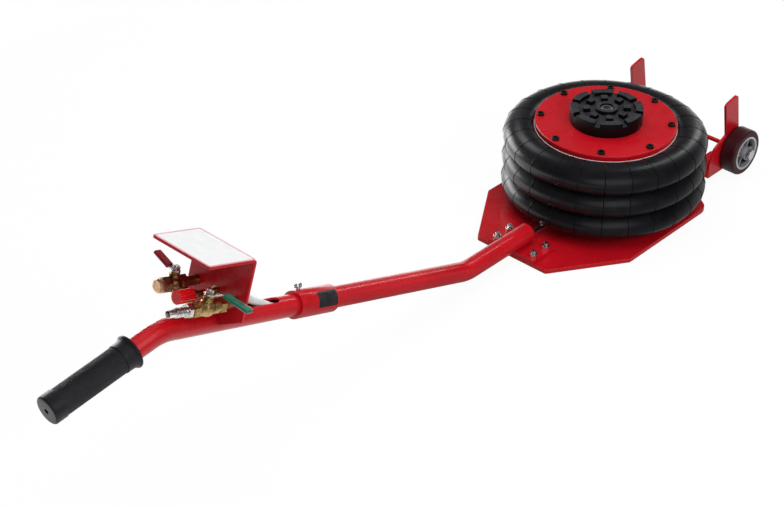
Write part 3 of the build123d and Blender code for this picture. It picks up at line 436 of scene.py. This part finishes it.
def plastic_materials():
    """Hubs and rims, caps and lever sleeves, hoses, seats and blank films."""
    # The hub is painted dark in its hollows as painted shade.
    pocket_shaded_plastic("hub_plastic", dark=(0.016, 0.016, 0.020), light=(0.26, 0.26, 0.28),
                   gloss=(0.30, 0.42))
    plastic("pale_rim", dark=(0.42, 0.40, 0.41), light=(0.56, 0.54, 0.55), gloss=(0.30, 0.44))
    plastic("red_plastic", dark=(0.70, 0.0045, 0.009), light=(0.82, 0.0065, 0.013), gloss=(0.18, 0.32))
    # A darker copy of the red plastic, painted with the shade that falls on the exhaust lever sleeve.
    plastic("shaded_red_plastic", dark=(0.21, 0.0045, 0.011), light=(0.29, 0.0075, 0.018),
            gloss=(0.22, 0.36))
    plastic("green_plastic", dark=(0.012, 0.125, 0.075), light=(0.024, 0.19, 0.120), gloss=(0.14, 0.26))
    plastic("hose_plastic", dark=(0.60, 0.61, 0.60), light=(0.74, 0.75, 0.74), gloss=(0.28, 0.42))
    plastic("seat_plastic", dark=(0.74, 0.74, 0.72), light=(0.84, 0.84, 0.82), gloss=(0.40, 0.55))
    plastic("blank_film", dark=(0.84, 0.84, 0.84), light=(0.90, 0.90, 0.90), gloss=(0.28, 0.38))
    plastic("film_frame", dark=(0.72, 0.33, 0.36), light=(0.80, 0.42, 0.45), gloss=(0.28, 0.38))
    plastic("dark_film", dark=(0.018, 0.016, 0.018), light=(0.034, 0.030, 0.032),
            gloss=(0.24, 0.36), level=0.2)


def make_materials():
    """One material for each of the record's slots, and a few for single pieces."""
    painted("red_paint", dark=(0.47, 0.0042, 0.010), light=(0.57, 0.0065, 0.015))
    rubber_materials()
    metal_materials()
    plastic_materials()


# Materials and edges of the CAD pieces
# The exhaust and relief valve bodies and the exhaust lever sleeve take darker copies of brass and red plastic, as
# painted shade.
own_material = {"exhaust_valve_body": "shaded_brass", "relief_body": "shaded_brass",
                "exhaust_lever_sleeve": "shaded_red_plastic", "pad_bolt": "worn_steel"}
sheet_pieces = ("base_plate", "left_wheel_bracket", "right_wheel_bracket", "valve_bracket", "handle_flange",
                "coupling_sleeve", "top_plate", "lift_pad")
fine_pieces = ("inlet_lever", "exhaust_lever", "wing_screw", "inlet_valve_body", "exhaust_valve_body",
               "gland_nuts", "flange_nuts", "flange_bolts", "axle_bolts", "axle_nuts", "hose_nipple",
               "exhaust_muffler", "relief_body")
edge_width = dict.fromkeys(sheet_pieces, sheet_edge)
edge_width |= dict.fromkeys(fine_pieces, fine_edge)
edge_width |= dict.fromkeys(("left_wheel_hub", "right_wheel_hub"), hub_edge)


def soften_edges(piece, width):
    """Breaks a CAD piece's sharp edges with a narrow round, without touching its mesh."""
    weld = piece.modifiers.new("weld", "WELD")
    weld.merge_threshold = weld_distance
    planes = piece.modifiers.new("planes", "DECIMATE")
    planes.decimate_type = "DISSOLVE"
    planes.angle_limit = flat_angle
    edges = piece.modifiers.new("edges", "BEVEL")
    edges.width = width
    edges.segments = edge_segments
    edges.limit_method = "ANGLE"
    edges.angle_limit = sharp_angle
    edges.harden_normals = True


def dress_nodes():
    """Gives every CAD node its material, and the listed ones softened edges."""
    for part in frame["record"]["subparts"]:
        node = part["node"]
        piece = frame["nodes"][node]
        piece.data.materials.clear()
        piece.data.materials.append(materials[own_material.get(node, part["material_slot"])])
        if node in edge_width:
            soften_edges(piece, edge_width[node])


# Mesh helpers
def joint_axis(name):
    """Direction of a joint's axis at rest."""
    return next(Vector(joint["axis"]) for joint in frame["joints"] if joint["name"] == name).normalized()


def span(node, axis):
    """Lowest and highest place of a CAD node along an axis."""
    places = [axis.dot(vertex.co) for vertex in frame["nodes"][node].data.vertices]
    return min(places), max(places)


def to_mesh(name, shape):
    """Turns a finished edit mesh into a mesh with its faces pointing out."""
    bmesh.ops.recalc_face_normals(shape, faces=shape.faces)
    mesh = bpy.data.meshes.new(name)
    shape.to_mesh(mesh)
    shape.free()
    return mesh


def link_piece(name, mesh, names, body=None):
    """Puts a finished mesh into the scene with its materials, its slot and, if one is given, its body."""
    piece = bpy.data.objects.new(name, mesh)
    bpy.context.scene.collection.objects.link(piece)
    for material in names:
        mesh.materials.append(materials[material])
    if body is not None:
        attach(piece, body)
    return piece


def even_normals(piece):
    """Keeps flat stretches flat beside narrow rounds."""
    normals = piece.modifiers.new("normals", "WEIGHTED_NORMAL")
    normals.keep_sharp = True


def ring_grid(shape, rings, closed=True):
    """Quads between rings of points, each ring joined to the next and, if closed, the last to the first."""
    grid = [[shape.verts.new(point) for point in ring] for ring in rings]
    around = len(grid[0])
    followers = grid[1:] + grid[:1] if closed else grid[1:]
    faces = []
    for low, high in zip(grid, followers):
        for i in range(around):
            j = (i + 1) % around
            face = shape.faces.new((low[i], low[j], high[j], high[i]))
            face.smooth = True
            faces.append((i, face))
    return grid, faces


def rounded_profile(corners):
    """Outline through corners given as radius, distance and rounding, each rounding an arc of a few steps."""
    points = []
    count = len(corners)
    for i, (x, y, rounding) in enumerate(corners):
        corner = Vector((x, y))
        if rounding == 0:
            points.append(corner)
            continue
        before = (Vector(corners[i - 1][:2]) - corner).normalized()
        after = (Vector(corners[(i + 1) % count][:2]) - corner).normalized()
        half = before.angle(after) / 2
        middle = corner + (before + after).normalized() * rounding / math.sin(half)
        start = (corner + before * rounding / math.tan(half) - middle).normalized()
        end = (corner + after * rounding / math.tan(half) - middle).normalized()
        for step in range(round_steps + 1):
            points.append(middle + start.slerp(end, step / round_steps) * rounding)
    return points


def turned_piece(name, profile, origin, axis, material, body):
    """Ring turned about an axis from a closed outline of radius and distance along the axis."""
    side = axis.orthogonal().normalized()
    other = axis.cross(side)
    rings = []
    for radius, distance in profile:
        ring = []
        for step in range(ring_steps):
            angle = 2 * math.pi * step / ring_steps
            across = side * math.cos(angle) + other * math.sin(angle)
            ring.append(origin + axis * distance + across * radius)
        rings.append(ring)
    shape = bmesh.new()
    ring_grid(shape, rings)
    even_normals(link_piece(name, to_mesh(name, shape), [material], body))


# Air bag
bag_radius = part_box("middle_convolution")[1].x - bag_rib_height
bag_centre = bag_radius - bag_roll_depth
bag_low_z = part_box("lower_convolution")[0].z
fold_z = [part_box("middle_convolution")[0].z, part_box("middle_convolution")[1].z]
half_pitch = (fold_z[1] - fold_z[0]) / 2
bag_plate_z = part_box("top_plate")[0].z
bag_plate_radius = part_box("top_plate")[1].x


def rib_columns():
    """Angles round the bag with the rib height at each: close together on a rib, wide apart between ribs."""
    rib_offsets = (-1.6, -1.0, -0.6, -0.3, 0.0, 0.3, 0.6, 1.0, 1.6)
    rib_profile = (0.0, 0.0, 0.35, 0.85, 1.0, 0.85, 0.35, 0.0, 0.0)
    foot = rib_offsets[-1]
    pitch = 2 * math.pi / bag_rib_count
    half = bag_rib_half_width / bag_radius
    gap = pitch - 2 * half * foot
    columns = []
    for rib in range(bag_rib_count):
        middle = bag_first_rib + rib * pitch
        columns += [(middle + k * half, h) for k, h in zip(rib_offsets, rib_profile)]
        for k in range(bag_plain_steps):
            columns.append((middle + half * foot + gap * (k + 1) / (bag_plain_steps + 1), 0.0))
    return columns


def roll_points(mid_z, start, end, offset=0.0):
    """Radius, height and outward direction along a roll's outline, moved in by an offset."""
    points = []
    for step in range(bag_arc_steps + 1):
        angle = start + (end - start) * step / bag_arc_steps
        depth = bag_roll_depth if math.cos(angle) > 0 else bag_crown_depth
        across = math.cos(angle)
        up = math.sin(angle)
        normal = Vector((across / depth, up / bag_roll_half_height)).normalized()
        radius = bag_centre + depth * across - offset * normal.x
        height = mid_z + bag_roll_half_height * up - offset * normal.y
        points.append((radius, height, normal))
    return points


def bag_outline(mid_z, low, high):
    """Closed outline of one roll's wall: outside going up, inside coming down."""
    outside = roll_points(mid_z, low, high)
    inside = roll_points(mid_z, low, high, bag_wall)
    neck = bag_centre - bag_neck_inset
    flat = Vector((0.0, 0.0))
    top = []
    if math.cos(high) > 0:
        top = [(neck, outside[-1][1], flat), (neck, inside[-1][1], flat)]
    bottom = []
    if math.cos(low) > 0:
        bottom = [(neck, inside[0][1], flat), (neck, outside[0][1], flat)]
    return outside + top + inside[::-1] + bottom, len(outside)


def lean_share(angle):
    """How much of the bag's lean shows at an angle: all on the leaning side, none an eighth turn away."""
    offset = angle - bag_lean_azimuth
    return max(math.cos(2 * offset), 0.0) ** 2 if math.cos(offset) > 0 else 0.0


def make_roll(name, index, mid_z, low, high):
    """One rubber roll of the bag with its raised ribs, leaning a little to one side, as a closed wall."""
    outline, ribbed = bag_outline(mid_z, low, high)
    columns = rib_columns()
    fold_slope = roll_points(mid_z, low, high)[0 if index else -1][2].x
    rings = []
    for row, (radius, height, normal) in enumerate(outline):
        rib = bag_rib_height if row < ribbed else 0.0
        share = max(normal.x - fold_slope, 0.0) / (1.0 - fold_slope)
        ring = []
        for angle, rise in columns:
            place = radius + share * bag_lean[index] * lean_share(angle) + rib * rise * normal.x
            ring.append((place * math.cos(angle), place * math.sin(angle), height + rib * rise * normal.y))
        rings.append(ring)
    shape = bmesh.new()
    faces = ring_grid(shape, rings)[1]
    for column, face in faces:
        face.material_index = int(columns[column][1] + columns[(column + 1) % len(columns)][1] > 0)
    return link_piece(name, to_mesh(name, shape), ["bag_rubber", "rib_shade_rubber"])


def make_bag():
    """Three rolls that stretch between the base, the two girdle hoops and the lifting head."""
    fold = math.asin(half_pitch / bag_roll_half_height)
    crown = math.pi - math.acos((bag_centre - bag_plate_radius) / bag_crown_depth)
    mids = [bag_low_z + half_pitch * (2 * i + 1) for i in range(3)]
    lower = make_roll("bag_lower_roll", 0, mids[0], -math.pi / 2, fold)
    middle = make_roll("bag_middle_roll", 1, mids[1], -fold, fold)
    upper = make_roll("bag_upper_roll", 2, mids[2], -fold, crown)
    nodes = ["lower_convolution", "middle_convolution", "upper_convolution"]
    for i, roll in enumerate((lower, middle, upper)):
        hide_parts(nodes[i])
        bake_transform(roll)


def make_plate_seal():
    """Pale seal that shows as a thin line under the top plate's edge."""
    profile = []
    for step in range(seal_steps):
        angle = 2 * math.pi * step / seal_steps
        radius = bag_plate_radius + seal_radius * math.cos(angle)
        profile.append((radius, seal_rise + seal_radius * math.sin(angle)))
    origin = Vector((0.0, 0.0, bag_plate_z))
    turned_piece("plate_seal", profile, origin, Vector(upward), "seat_plastic", "lift_head")


# Rubber grip
def grip_outline(length, flange):
    """Closed outline of the grip's wall: flange, flare, collar, fluted barrel, end and bore."""
    step = flange - grip_step_drop
    barrel = flange - grip_barrel_drop
    bore = flange - grip_bore_drop
    flare_end = grip_flange_thickness + grip_flare_length
    collar = flare_end + grip_collar_length
    end = length - grip_end_length
    inner_end = length - grip_end_wall
    flare = []
    for k in range(1, grip_flare_steps):
        angle = math.radians(90.0) * k / grip_flare_steps
        radius = step + (flange - step) * (1 - math.sin(angle))
        flare.append((radius, flare_end - grip_flare_length * math.cos(angle), 0.0))
    fine = grip_edge_round
    corners = [(bore, 0.0, 0.0), (flange, 0.0, grip_flange_round)]
    corners += [(flange, grip_flange_thickness, grip_flange_round)]
    corners += flare
    corners += [(step, flare_end, 0.0), (step, collar, fine), (barrel, collar, fine), (barrel, end, fine)]
    corners += [(step, end, fine), (step, length, grip_end_round), (grip_end_hole_radius, length, fine)]
    corners += [(grip_end_hole_radius, inner_end, 0.0), (bore, inner_end, 0.0)]
    return rounded_profile(corners), collar, end


def make_grip():
    """Rubber grip with fine flutes along its barrel."""
    axis = Vector((-math.cos(grip_drop), 0.0, -math.sin(grip_drop)))
    side = Vector((0, 1, 0))
    normal = side.cross(axis)
    start, finish = span("handle_grip", axis)
    low, high = span("handle_grip", normal)
    flange = (high - low) / 2
    origin = axis * start + normal * (low + high) / 2
    outline, fluted_start, fluted_end = grip_outline(finish - start, flange)
    columns = grip_flute_count * grip_flute_columns
    rings = []
    for radius, distance in outline:
        on_barrel = fluted_start < distance < fluted_end and radius > flange - grip_bore_drop + fine_edge
        ring = []
        for column in range(columns):
            angle = 2 * math.pi * column / columns
            flute = (1 - math.cos(grip_flute_count * angle)) / 2
            place = radius - (grip_flute_depth * flute if on_barrel else 0.0)
            across = side * math.cos(angle) + normal * math.sin(angle)
            ring.append(origin + axis * distance + across * place)
        rings.append(ring)
    shape = bmesh.new()
    ring_grid(shape, rings)
    grip = link_piece("grip_sleeve", to_mesh("grip_sleeve", shape), ["grip_rubber"], "handle")
    even_normals(grip)
    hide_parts("handle_grip")


# Wheel rims
def make_rims():
    """Pale rim ring on the outer face of each wheel."""
    for side, body in ((1, "left_wheel"), (-1, "right_wheel")):
        axis = Vector((0, side, 0))
        low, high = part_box(body + "_hub")
        radius = (high.z - low.z) / 2
        face = span(body.replace("wheel", "tyre"), axis)[1]
        origin = Vector(((low.x + high.x) / 2, 0.0, (low.z + high.z) / 2)) + axis * face
        inner = radius - rim_width
        corners = [(inner, -rim_proud, 0.0), (radius, -rim_proud, 0.0), (radius, rim_proud, rim_edge)]
        corners += [(inner, rim_proud, rim_edge)]
        outline = rounded_profile(corners)
        turned_piece(body + "_rim", outline, origin, axis, "pale_rim", body)


# Blank films
def rounded_corners(half_length, half_width, corner):
    """Points of a rectangle with round corners, about its middle."""
    points = []
    for quarter, (sx, sy) in enumerate(((1, 1), (-1, 1), (-1, -1), (1, -1))):
        for step in range(corner_steps + 1):
            angle = math.radians(90.0) * (quarter + step / corner_steps)
            x = sx * (half_length - corner) + corner * math.cos(angle)
            y = sy * (half_width - corner) + corner * math.sin(angle)
            points.append((x, y))
    return points


def make_bracket_panel():
    """Blank white film on the bracket's top, with a pale red frame."""
    up_slope = joint_axis("handle_pull")
    side = Vector((0, 1, 0))
    normal = side.cross(up_slope)
    start, end = span("valve_bracket", up_slope)
    right, left = span("valve_bracket", side)
    top = span("valve_bracket", normal)[1]
    middle = up_slope * (start + end) / 2 + side * (left + right) / 2 + normal * top
    half_length = (end - start) / 2 - panel_border
    half_width = (left - right) / 2 - panel_border
    outer = rounded_corners(half_length, half_width, panel_corner)
    inner = rounded_corners(half_length - panel_frame, half_width - panel_frame, panel_corner)
    lift = normal * panel_thickness
    rings = [[middle + up_slope * x + side * y for x, y in outer]]
    rings.append([point + lift for point in rings[0]])
    rings.append([middle + lift + up_slope * x + side * y for x, y in inner])
    shape = bmesh.new()
    grid, faces = ring_grid(shape, rings, closed=False)
    for _, face in faces:
        face.smooth = False
        face.material_index = 1
    shape.faces.new(grid[-1])
    shape.faces.new(grid[0][::-1])
    mesh = to_mesh("bracket_panel", shape)
    link_piece("bracket_panel", mesh, ["blank_film", "film_frame"], "handle")


def make_sleeve_patch():
    """Blank dark film bent round the coupling sleeve's near side."""
    up_slope = joint_axis("handle_pull")
    side = Vector((0, 1, 0))
    normal = side.cross(up_slope)
    right, left = span("coupling_sleeve", side)
    radius = (left - right) / 2
    low = span("coupling_sleeve", normal)[0]
    start = span("coupling_sleeve", up_slope)[0] + patch_from_end
    rows = []
    for step in range(patch_steps + 1):
        share = step / patch_steps
        angle = patch_start_angle + (patch_end_angle - patch_start_angle) * share
        edge = radius * (patch_end_angle - patch_start_angle) * min(share, 1 - share)
        short = max(patch_corner - edge, 0.0)
        inset = patch_corner - math.sqrt(patch_corner ** 2 - short ** 2)
        across = normal * math.cos(angle) - side * math.sin(angle)
        middle = normal * (low + radius)
        ends = (start + inset, start + patch_length - inset)
        heights = (radius, radius + patch_thickness)
        corners = [(ends[0], heights[0]), (ends[1], heights[0]), (ends[1], heights[1]), (ends[0], heights[1])]
        rows.append([middle + up_slope * place + across * height for place, height in corners])
    shape = bmesh.new()
    grid = ring_grid(shape, rows, closed=False)[0]
    shape.faces.new(grid[0])
    shape.faces.new(grid[-1][::-1])
    patch = link_piece("sleeve_patch", to_mesh("sleeve_patch", shape), ["dark_film"], "base")
    even_normals(patch)


# Floor, world, lights and camera
def seen_ray(tree):
    """One for rays that come from the camera, from a gloss or through glass."""
    seen = tree.combine("MAXIMUM", tree.ray("Is Camera Ray"), tree.ray("Is Glossy Ray"))
    return tree.combine("MAXIMUM", seen, tree.ray("Is Transmission Ray"))


def floor_glow(tree):
    """White to the camera everywhere, and to gloss only on the lit parts of a sheet of paper."""
    spot = tree.point()
    paper = tree.ramp(tree.length(spot), floor_edge_start, floor_edge_end, 1.0, room_level)
    far = tree.ramp(tree.along(spot, far_side), floor_near, floor_far, room_level, 1.0)
    grip_end = tree.ramp(tree.along(spot, grip_side), floor_bag_end, floor_grip_end, 0.0, 1.0)
    left = tree.ramp(tree.along(spot, left_side), floor_left_start, floor_left_end, 0.0, left_level)
    lit = tree.combine("MAXIMUM", tree.combine("MAXIMUM", far, grip_end), left)
    return tree.choose(tree.ray("Is Camera Ray"), floor_white, tree.combine("MULTIPLY", paper, lit))


def floor_material():
    """Pale and diffuse for light and shadow, and glowing white for the rays that are seen."""
    sheet = Surface("floor")
    sheet.nodes.remove(sheet.shader)
    diffuse = sheet.nodes.new("ShaderNodeBsdfDiffuse")
    diffuse.inputs["Color"].default_value = (floor_tone, floor_tone, floor_tone, 1.0)
    glow = sheet.nodes.new("ShaderNodeEmission")
    glow.inputs["Color"].default_value = white
    sheet.links.new(floor_glow(sheet), glow.inputs["Strength"])
    share = sheet.ramp(sheet.length(sheet.point()), floor_edge_start, floor_edge_end, floor_share, 1.0)
    share = sheet.combine("MULTIPLY", share, seen_ray(sheet))
    mixed = sheet.mix(share, diffuse.outputs["BSDF"], glow.outputs["Emission"])
    sheet.links.new(mixed, sheet.nodes["Material Output"].inputs["Surface"])
    return sheet.material


def make_floor():
    """Pale floor that keeps a faint shadow and fades into the white background."""
    shape = bmesh.new()
    corners = [(-floor_reach, -floor_reach), (floor_reach, -floor_reach)]
    corners += [(floor_reach, floor_reach), (-floor_reach, floor_reach)]
    shape.faces.new([shape.verts.new((x, y, -floor_drop)) for x, y in corners])
    mesh = to_mesh("floor", shape)
    floor = bpy.data.objects.new("floor", mesh)
    bpy.context.scene.collection.objects.link(floor)
    mesh.materials.append(floor_material())


def make_world():
    """White round the horizon and dim overhead to the camera, dimmer in gloss, and soft for other rays."""
    world = bpy.data.worlds.new("studio")
    bpy.context.scene.world = world
    tree = Tree(world)
    soft = tree.nodes["Background"]
    soft.inputs["Color"].default_value = soft_colour
    soft.inputs["Strength"].default_value = soft_level
    seen = tree.nodes.new("ShaderNodeBackground")
    seen.inputs["Color"].default_value = white
    direction = tree.nodes.new("ShaderNodeTexCoord").outputs["Generated"]
    sky = tree.ramp(tree.along(direction, upward), horizon_top, sky_start, 1.0, sky_level)
    room = tree.ramp(tree.along(direction, far_side), room_near, room_far, room_level, back_level)
    room = tree.combine("MAXIMUM", room, tree.ray("Is Camera Ray"))
    tree.links.new(tree.combine("MULTIPLY", sky, room), seen.inputs["Strength"])
    mixed = tree.mix(seen_ray(tree), soft.outputs["Background"], seen.outputs["Background"])
    tree.links.new(mixed, tree.nodes["World Output"].inputs["Surface"])


def add_light(name, place, target, size, level, in_gloss=True, in_shade=True):
    """Rectangular soft light facing a target, as bright on its face as its level says."""
    width, height = size
    lamp = bpy.data.lights.new(name, "AREA")
    lamp.shape = "RECTANGLE"
    lamp.size = width
    lamp.size_y = height
    lamp.energy = level * math.pi * width * height
    light = bpy.data.objects.new(name, lamp)
    light.location = place
    light.rotation_euler = (Vector(target) - Vector(place)).to_track_quat("-Z", "Y").to_euler()
    light.visible_camera = False
    light.visible_glossy = in_gloss
    light.visible_diffuse = in_shade
    bpy.context.scene.collection.objects.link(light)


def make_lights():
    """Two lights that stay out of gloss, two that show only in gloss, and two that do both."""
    bag = (0.0, 0.0, 0.10)
    add_light("overhead_light", place=(-0.50, 0.10, 2.10), target=(-0.35, 0.0, 0.10), size=(2.2, 1.6),
              level=2.2, in_gloss=False)
    add_light("front_light", place=(-0.40, -1.60, 1.15), target=(-0.30, 0.0, 0.10), size=(1.5, 0.9),
              level=4.0, in_gloss=False)
    add_light("front_card", place=(-0.85, -0.80, 0.80), target=(-0.62, 0.0, 0.25), size=(1.2, 0.9),
              level=1.1, in_shade=False)
    add_light("left_light", place=(-0.22, 1.36, 0.30), target=(-0.05, 0.0, 0.10), size=(0.80, 0.50),
              level=10.0, in_shade=False)
    add_light("left_high_light", place=(0.38, 1.05, 1.10), target=bag, size=(0.45, 0.45), level=4.0)
    add_light("back_light", place=(1.19, 0.10, 1.07), target=bag, size=(0.16, 1.50), level=6.0)


def make_camera():
    """Camera at the photograph's place, with its lens."""
    lens = bpy.data.cameras.new("camera")
    lens.sensor_fit = "HORIZONTAL"
    lens.sensor_width = sensor_width
    lens.lens = focal_pixels / picture_width * sensor_width
    camera = bpy.data.objects.new("camera", lens)
    level = math.cos(camera_elevation)
    view = Vector((far_side[0] * level, far_side[1] * level, -math.sin(camera_elevation)))
    turn = view.to_track_quat("-Z", "Y").to_matrix().to_4x4()
    camera.matrix_world = Matrix.Translation(camera_place) @ turn
    bpy.context.scene.collection.objects.link(camera)
    bpy.context.scene.camera = camera


bpy.context.scene.view_settings.view_transform = "Standard"
make_materials()
dress_nodes()
make_bag()
make_plate_seal()
make_grip()
make_rims()
make_bracket_panel()
make_sleeve_patch()
make_floor()
make_world()
make_lights()
make_camera()
